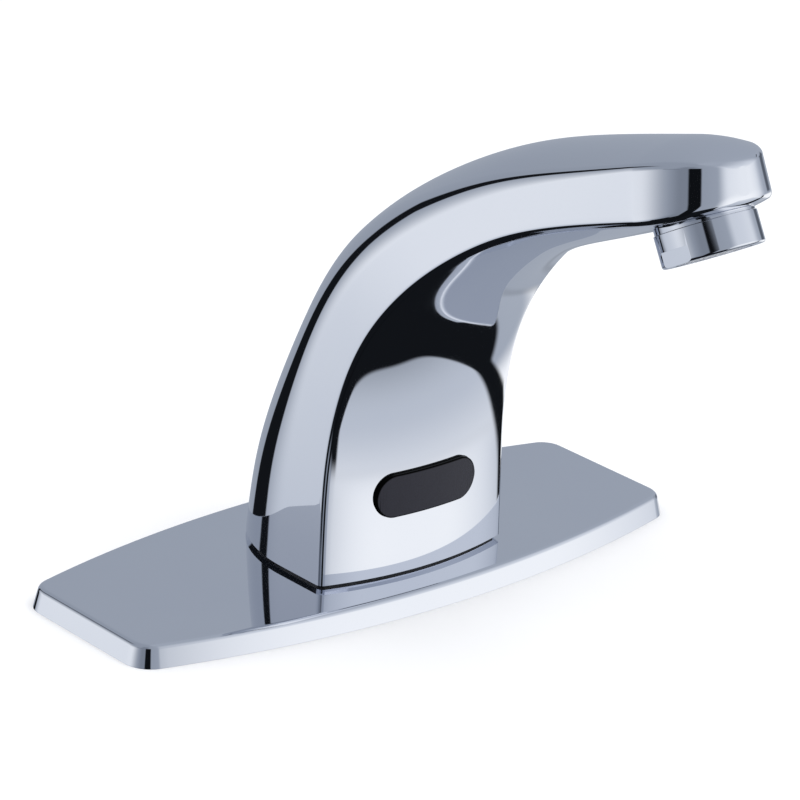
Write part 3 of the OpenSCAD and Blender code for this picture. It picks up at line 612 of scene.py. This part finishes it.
pick("edges", lambda e: len(e.link_faces) == 2 and e.calc_face_angle(0) > RIM_ANGLE
     and e.verts[0].co.y < (skin_y + PLUG_AHEAD) * MM)
bevel(WINDOW_EDGE_R, segments=4)
done()
print("bulge's radius", round(bulge_r, 1), "mm, its front at", round(skin_y, 1), "mm")

# %% Add the flange behind the wall
flange_sizes = (WINDOW_W + 2 * FLANGE_RIM, FLANGE_T, WINDOW_H + 2 * FLANGE_RIM)
flange = add_box("flange", flange_sizes, Vector((0, flange_y, WINDOW_Z)) * MM)
edit(flange)
pick("edges", lambda e: abs(e.verts[0].co.y - e.verts[1].co.y) > FLANGE_T / 2 * MM)
bevel(FLANGE_CORNER_R, segments=8)
done()
carve(window, flange, "UNION")
smooth(window)
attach(window, "fixed_tap")
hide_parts("sensor_window")

# %% [markdown]
# ## Materials
# Each finish is one shader whose roughness and height vary a little, as they do on the real
# thing: polishing leaves faint streaks, cast brass is grainy, drawn copper has lines. Pictures
# could carry such marks, but a noise in the piece's own coordinates needs none, and it stays
# sharp from near by.

# %% Node helpers
def join(tree, value, socket):
    """Gives an input its value: another node's output is linked, anything else is set."""
    if isinstance(value, bpy.types.NodeSocket):
        tree.links.new(value, socket)
    else:
        socket.default_value = value


def add_node(tree, kind, **inputs):
    node = tree.nodes.new(kind)
    for name, value in inputs.items():
        join(tree, value, node.inputs[name.replace("_", " ")])
    return node


def math_node(tree, operation, *values):
    node = tree.nodes.new("ShaderNodeMath")
    node.operation = operation
    for value, socket in zip(values, node.inputs):
        join(tree, value, socket)
    return node.outputs[0]


def mix_colours(tree, factor, first, second):
    """The first colour where the factor is 0, the second where it is 1."""
    mix = tree.nodes.new("ShaderNodeMix")
    mix.data_type = "RGBA"
    for name, value in (("Factor", factor), ("A", first), ("B", second)):
        join(tree, (*value, 1) if isinstance(value, tuple) else value, mix.inputs[name])
    return mix.outputs["Result"]


# %% Material helpers
NOISE_LOW, NOISE_HIGH = 0.3, 0.7


def shader_of(made):
    return made.node_tree.nodes["Principled BSDF"]


def material(name, colour, rough, metal=0.0, specular=0.5):
    made = bpy.data.materials.new(name)
    made.use_nodes = True
    for socket, value in (("Base Color", (*colour, 1)), ("Roughness", rough), ("Metallic", metal),
                          ("Specular IOR Level", specular)):
        shader_of(made).inputs[socket].default_value = value
    return made


def grain(made, size, stretch=(1, 1, 1), detail=4.0):
    """A noise in the piece's own coordinates; size is its grain in mm."""
    tree = made.node_tree
    place = add_node(tree, "ShaderNodeTexCoord").outputs["Object"]
    stretched = add_node(tree, "ShaderNodeMapping", Vector=place, Scale=stretch).outputs["Vector"]
    return add_node(tree, "ShaderNodeTexNoise", Vector=stretched, Scale=1 / (size * MM),
                    Detail=detail).outputs["Fac"]


def roughen(made, source, low, high):
    """Lets a noise move the shader's roughness between two values."""
    spread = add_node(made.node_tree, "ShaderNodeMapRange", Value=source, From_Min=NOISE_LOW,
                      From_Max=NOISE_HIGH, To_Min=low, To_Max=high)
    join(made.node_tree, spread.outputs["Result"], shader_of(made).inputs["Roughness"])


def tint(made, source, first, second):
    """Colours the shader with two colours, mixed by a noise."""
    mixed = mix_colours(made.node_tree, source, first, second)
    join(made.node_tree, mixed, shader_of(made).inputs["Base Color"])


def relief(made, source, height, strength):
    """Turns a noise into fine relief; height is in mm."""
    bump = add_node(made.node_tree, "ShaderNodeBump", Height=source, Strength=strength,
                    Distance=height * MM)
    join(made.node_tree, bump.outputs["Normal"], shader_of(made).inputs["Normal"])


# %% Kinds of finish
def chrome_finish():
    made = material("polished_chrome", (0.80, 0.82, 0.87), rough=0.03, metal=1.0)
    roughen(made, grain(made, size=14, stretch=(1, 1, 0.4)), low=0.02, high=0.045)
    tint(made, grain(made, size=30), (0.78, 0.80, 0.86), (0.82, 0.84, 0.88))
    relief(made, grain(made, size=9, detail=1.0), height=0.004, strength=0.25)
    return made


def metal_finish(name, first, second, rough, size, stretch=(1, 1, 1)):
    made = material(name, first, rough, metal=1.0)
    marks = grain(made, size, stretch)
    roughen(made, marks, low=rough * 0.75, high=rough * 1.35)
    tint(made, grain(made, size * 5), first, second)
    relief(made, marks, height=0.01, strength=0.6)
    return made


def moulded_finish(name, first, second, rough, size, height, specular=0.5):
    made = material(name, first, rough, specular=specular)
    marks = grain(made, size)
    roughen(made, marks, low=rough * 0.85, high=min(rough * 1.2, 1))
    tint(made, grain(made, size * 12), first, second)
    relief(made, marks, height, strength=0.5)
    return made


# %% Finishes
WINDOW_SHINE = 0.3
# name, first and second colour, roughness, grain in mm, stretch of the marks
metal_rows = {
    "brass": ("machined_brass", (0.78, 0.60, 0.30), (0.72, 0.54, 0.26), 0.3, 0.5, (1, 1, 8)),
    "copper_tube": ("drawn_copper", (0.78, 0.42, 0.29), (0.70, 0.36, 0.24), 0.28, 0.4, (6, 1, 1)),
    "steel": ("bright_steel", (0.62, 0.62, 0.64), (0.56, 0.56, 0.58), 0.25, 0.3)}
# name, first and second colour, roughness, grain in mm, height of the relief in mm
moulded_rows = {
    "rubber": ("seal_rubber", (0.012, 0.012, 0.013), (0.02, 0.02, 0.021), 0.55, 0.3, 0.01),
    "foam": ("closed_cell_foam", (0.03, 0.03, 0.032), (0.045, 0.045, 0.047), 0.9, 0.5, 0.08),
    "window": ("dark_window", (0.011, 0.011, 0.020), (0.013, 0.013, 0.023), 0.25, 0.15, 0.0005,
               WINDOW_SHINE),
    "housing": ("black_housing", (0.014, 0.014, 0.016), (0.02, 0.02, 0.022), 0.5, 0.4, 0.01),
    "circuit_board": ("board_laminate", (0.01, 0.12, 0.05), (0.012, 0.16, 0.06), 0.35, 0.6, 0.01),
    "clear_lens": ("clear_resin", (0.35, 0.40, 0.62), (0.40, 0.45, 0.66), 0.1, 0.6, 0.001),
    "dark_lens": ("dark_resin", (0.03, 0.026, 0.03), (0.04, 0.034, 0.04), 0.12, 0.6, 0.001),
    "red_lens": ("red_resin", (0.55, 0.02, 0.015), (0.62, 0.03, 0.02), 0.12, 0.6, 0.001),
    "white_plastic": ("white_acetal", (0.78, 0.78, 0.77), (0.82, 0.82, 0.81), 0.4, 0.5, 0.004)}
finishes = {"chrome": chrome_finish()}
finishes.update({slot: metal_finish(*row) for slot, row in metal_rows.items()})
finishes.update({slot: moulded_finish(*row) for slot, row in moulded_rows.items()})
print(len(finishes), "finishes")

# %% [markdown]
# ## Painted shade on the window's rim
# The rounded side of the window lies in the shade of its pocket, so it looks blacker than the
# face. That shade is painted: a second material would end in a hard step, so the window's own
# material darkens towards its edge and reflects less there. How near the edge a point is follows
# from its distance to the line that joins the centres of the window's two round ends.

# %% Paint shade on the window's rim
# how many mm in from the window's edge the painted shade starts, and where it is darkest
RIM_FROM, RIM_FULL = 0.55, 0.30
# painted shade: a near black colour and a weak reflection on the rim, where the pocket shades it
RIM_SHADE_COLOUR, SHADED_RIM_SHINE = (0.001, 0.001, 0.001), 0.02
tree = finishes["window"].node_tree
window_shader = shader_of(finishes["window"])
face_colour = window_shader.inputs["Base Color"].links[0].from_socket
place = add_node(tree, "ShaderNodeTexCoord").outputs["Object"]
x, y, z = add_node(tree, "ShaderNodeSeparateXYZ", Vector=place).outputs
HALF_LINE = (WINDOW_W - WINDOW_H) / 2 * MM
past_centre = math_node(tree, "SUBTRACT", math_node(tree, "ABSOLUTE", x), HALF_LINE)
past_line = math_node(tree, "MAXIMUM", past_centre, 0.0)
rise = math_node(tree, "SUBTRACT", z, WINDOW_Z * MM)
squares = [math_node(tree, "MULTIPLY", side, side) for side in (past_line, rise)]
from_line = math_node(tree, "SQRT", math_node(tree, "ADD", *squares))
# rim is 0 on the face and 1 at the edge, where the painted shade is full
rim = add_node(tree, "ShaderNodeMapRange", Value=from_line, From_Min=(WINDOW_H / 2 - RIM_FROM) * MM,
               From_Max=(WINDOW_H / 2 - RIM_FULL) * MM).outputs["Result"]
join(tree, mix_colours(tree, rim, face_colour, RIM_SHADE_COLOUR), window_shader.inputs["Base Color"])
join(tree, math_node(tree, "MULTIPLY_ADD", rim, SHADED_RIM_SHINE - WINDOW_SHINE, WINDOW_SHINE),
     window_shader.inputs["Specular IOR Level"])
print("the rim darkens over", round(RIM_FROM - RIM_FULL, 2), "mm")

# %% Put the finishes on
node_slots = {row["node"]: row["material_slot"] for row in frame["record"]["subparts"]}
for name, node in frame["nodes"].items():
    for material_slot in node.material_slots:
        material_slot.material = finishes[node_slots[name]]
for piece, finish in ((spout, "chrome"), (plate, "chrome"), (sleeve, "chrome"), (window, "window")):
    piece.data.materials.clear()
    piece.data.materials.append(finishes[finish])
print("finishes on", len(node_slots), "pieces")

# %% [markdown]
# ## The studio
# Chrome has no colour of its own: it shows the room. A room of lamps and walls would have to be
# moved about for every line, so this one is painted by direction. It is a bright band of soft
# light round the tap, darker at the top, with a bright floor further out. Dark gaps between the
# lights draw the thin dark lines along the edges and the stripe on the nose. The floor that is
# seen is plain white.

# %% Floor
FLOOR_RADIUS, FLOOR_Z = 6, -0.05 * MM
# a little light of its own, for the camera only, keeps the floor white
FLOOR_LIFT = 0.1
bpy.ops.object.select_all(action="DESELECT")
bpy.ops.mesh.primitive_circle_add(vertices=96, radius=FLOOR_RADIUS, fill_type="NGON",
                                  location=(0, 0, FLOOR_Z))
floor = new_piece("floor")
floor.visible_glossy = False
floor_paint = material("floor_paint", (0.9, 0.9, 0.9), rough=0.9, specular=0.1)
floor.data.materials.append(floor_paint)
tree = floor_paint.node_tree
paint = shader_of(floor_paint)
paint.inputs["Emission Color"].default_value = (1, 1, 1, 1)
camera_ray = add_node(tree, "ShaderNodeLightPath").outputs["Is Camera Ray"]
join(tree, math_node(tree, "MULTIPLY", camera_ray, FLOOR_LIFT), paint.inputs["Emission Strength"])
# the floor is clear from underneath, so that the tap's underside can be looked at
clear = add_node(tree, "ShaderNodeBsdfTransparent")
one_sided = add_node(tree, "ShaderNodeMixShader")
from_below = add_node(tree, "ShaderNodeNewGeometry").outputs["Backfacing"]
for source, socket in zip((from_below, paint.outputs[0], clear.outputs[0]), one_sided.inputs):
    join(tree, source, socket)
join(tree, one_sided.outputs[0], tree.nodes["Material Output"].inputs["Surface"])
print("floor radius", FLOOR_RADIUS, "m")

# %% Directions in the room
room = bpy.data.worlds.new("room")
bpy.context.scene.world = room
room.use_nodes = True
tree = room.node_tree
tree.nodes.clear()
calc = partial(math_node, tree)
blend = partial(mix_colours, tree)
TO_DEGREES = 180 / math.pi
place = add_node(tree, "ShaderNodeTexCoord").outputs["Generated"]
x, y, z = add_node(tree, "ShaderNodeSeparateXYZ", Vector=place).outputs
# around: degrees round the tap, 0 behind the tap, 90 at its right; height: degrees above level
around = calc("MULTIPLY", calc("ARCTAN2", x, y), TO_DEGREES)
height = calc("MULTIPLY", calc("ARCSINE", z), TO_DEGREES)


def turned_from(direction):
    """Degrees between a ray and a direction round the tap, whichever way is shorter."""
    turn = calc("FLOORED_MODULO", calc("SUBTRACT", around, direction), 360.0)
    return calc("SUBTRACT", 180.0, calc("ABSOLUTE", calc("SUBTRACT", turn, 180.0)))


print("directions:", len(tree.nodes), "nodes")


# %% Soft-edged patches of light
def rises(value, start, end):
    """0 before start, 1 after end, smooth between them."""
    node = add_node(tree, "ShaderNodeMapRange", Value=value, From_Min=start, From_Max=end)
    node.interpolation_type = "SMOOTHSTEP"
    return node.outputs["Result"]


def falls(value, start, end):
    """1 before start, 0 after end, smooth between them."""
    return calc("SUBTRACT", 1.0, rises(value, start, end))


def both(*masks):
    """1 only where every mask is 1."""
    mask = masks[0]
    for other in masks[1:]:
        mask = calc("MULTIPLY", mask, other)
    return mask


def patch(direction, inner, outer, lower=None, upper=None):
    """1 within inner degrees of a direction round the tap and 0 beyond outer, above a lower
    edge and below an upper edge, which each run over two heights."""
    masks = [falls(turned_from(direction), inner, outer)]
    masks += [rises(height, *lower)] if lower else []
    masks += [falls(height, *upper)] if upper else []
    return both(*masks)


def shade(level):
    """A grey that is a little blue where it is dim, as daylight on a white wall looks."""
    return (level * (0.86 + 0.12 * level), level, level * (1.26 - 0.23 * level))


print("darkest and brightest grey:", shade(0.006), shade(1.1))

# %% Walls and ceiling
reflected = blend(patch(110, 20, 130), shade(0.35), shade(0.44))
reflected = blend(patch(-121, 6, 27, upper=(45, 70)), reflected, shade(0.25))
print("walls and ceiling:", len(tree.nodes), "nodes so far")

# %% Soft lights: left of the tap, and in front of it on its right
left_colour = blend(falls(height, -24, 4), shade(0.97), shade(0.66))
reflected = blend(patch(-52, 12, 50, upper=(-8, 34)), reflected, left_colour)
reflected = blend(patch(138, 22, 46, upper=(20, 66)), reflected, shade(0.76))
reflected = blend(patch(143, 12, 42, upper=(-6, 26)), reflected, shade(1.08))
print("soft lights:", len(tree.nodes), "nodes so far")

# %% Floor in front: dark under the tap, bright inside a bowl-shaped edge further out
reflected = blend(falls(height, -28, -23), reflected, shade(0.008))
BOWL_HALF_WIDTH, BOWL_LOW, BOWL_RISE, BOWL_POWER = 34, -55.5, 21.0, 4.0
front_floor = blend(rises(height, -75, -36), shade(0.18), shade(0.62))
front_floor = blend(rises(height, -38, -10), front_floor, shade(1.04))
from_front = turned_from(138)
bowl_share = calc("POWER", calc("MULTIPLY", from_front, 1 / BOWL_HALF_WIDTH), BOWL_POWER)
bowl_edge = calc("ADD", calc("MULTIPLY", bowl_share, BOWL_RISE), BOWL_LOW)
in_bowl = rises(calc("SUBTRACT", height, bowl_edge), -1, 1)
reflected = blend(both(in_bowl, falls(height, -26, -20), falls(from_front, 33, 35)),
                  reflected, front_floor)
print("bowl's edge from", BOWL_LOW, "to", BOWL_LOW + BOWL_RISE, "degrees above level")

# %% Floor on the right: grey, then bright above an edge that climbs to the right
EDGE_FROM, EDGE_CLIMB = 66.0, 0.3
reflected = blend(patch(40, 17, 24, (-72, -66), (-28, -22)), reflected, shade(0.42))
right_floor = blend(rises(height, -35, -29), shade(0.46), shade(1.1))
climb = calc("MULTIPLY", calc("SUBTRACT", around, EDGE_FROM), EDGE_CLIMB)
above_edge = rises(calc("SUBTRACT", height, climb), -46, -44)
reflected = blend(both(patch(80, 17, 23, upper=(-19, -14)), above_edge), reflected, right_floor)
print("the edge climbs", EDGE_CLIMB, "degrees for each degree round the tap")

# %% Dark gaps between the lights
# direction, half width inside and outside its soft edge, lower edge, upper edge, grey
GAPS = (
    (77, 6, 13, (-14, -8), (6, 14), 0.12),              # right side of the nose
    (101, 3, 5.5, (-50, -44), (-20, -15), 0.008),       # right edge of the arch
    (-137, 9, 13, None, (22, 32), 0.006),               # stripe on the nose, behind the camera
    (-100, 11, 15, (-30, -26), (-19.5, -18.5), 0.01),   # front left corner of the foot
    (-98, 10, 14, (19, 20.5), (23, 25), 0.12),          # nose's upper edge, left of the stripe
    (82, 7, 9, (20.5, 21), (22.5, 23), 0.01))           # nose's upper edge at its tip
for direction, inner, outer, lower, upper, level in GAPS:
    reflected = blend(patch(direction, inner, outer, lower, upper), reflected, shade(level))
print(len(GAPS), "dark gaps")

# %% Dark gap behind the tap, which draws the long line along the spout's upper edge
BACK, LEAN_ABOVE, LEAN, WIDENS_BELOW, WIDENING = -3.0, 11.0, 1.2, 3.0, 0.3
lean = calc("MULTIPLY", calc("MAXIMUM", calc("SUBTRACT", height, LEAN_ABOVE), 0.0), LEAN)
from_back = calc("ABSOLUTE", calc("ADD", calc("SUBTRACT", around, BACK), lean))
widening = calc("MULTIPLY", calc("MAXIMUM", calc("SUBTRACT", WIDENS_BELOW, height), 0.0), WIDENING)
back_gap = both(falls(calc("SUBTRACT", from_back, widening), 4.5, 6.5), falls(height, 34, 54))
reflected = blend(back_gap, reflected, shade(0.008))
print("gap behind the tap: its middle is", BACK, "degrees from the back, up to", LEAN_ABOVE,
      "degrees above level")

# %% What each kind of ray sees
SOFT_LIGHT, WHITE = (0.85, 0.86, 0.89), (1.0, 1.0, 1.0)
path = add_node(tree, "ShaderNodeLightPath").outputs
mirrored = calc("MAXIMUM", path["Is Glossy Ray"], path["Is Transmission Ray"])
seen = blend(path["Is Camera Ray"], blend(mirrored, SOFT_LIGHT, reflected), WHITE)
background = add_node(tree, "ShaderNodeBackground", Color=seen)
add_node(tree, "ShaderNodeOutputWorld", Surface=background.outputs[0])
print("room:", len(tree.nodes), "nodes")

# %% [markdown]
# ## Lamps
# The room alone would light the tap from all sides at once. Two soft lamps give the dull pieces
# and the floor a direction of light. They aren't seen in the chrome, which has the room for that.

# %% Lamps
LAMP_DISTANCE, LAMP_SIZE = 1.2, 0.8


def softbox(name, around_deg, height_deg, power):
    """A soft lamp that shines on the tap but isn't seen in its chrome."""
    lamp = bpy.data.lights.new(name, "AREA")
    lamp.shape, lamp.size, lamp.energy = "DISK", LAMP_SIZE, power
    lamp_object = bpy.data.objects.new(name, lamp)
    bpy.context.scene.collection.objects.link(lamp_object)
    a, h = math.radians(around_deg), math.radians(height_deg)
    away = Vector((math.sin(a) * math.cos(h), math.cos(a) * math.cos(h), math.sin(h)))
    lamp_object.location = away * LAMP_DISTANCE
    lamp_object.rotation_euler = away.to_track_quat("Z", "Y").to_euler()
    lamp_object.visible_glossy = False
    print(name, power, "W")


softbox("key_light", around_deg=150, height_deg=55, power=4)
softbox("fill_light", around_deg=-80, height_deg=50, power=2.5)
bpy.context.scene.view_settings.view_transform = "Standard"
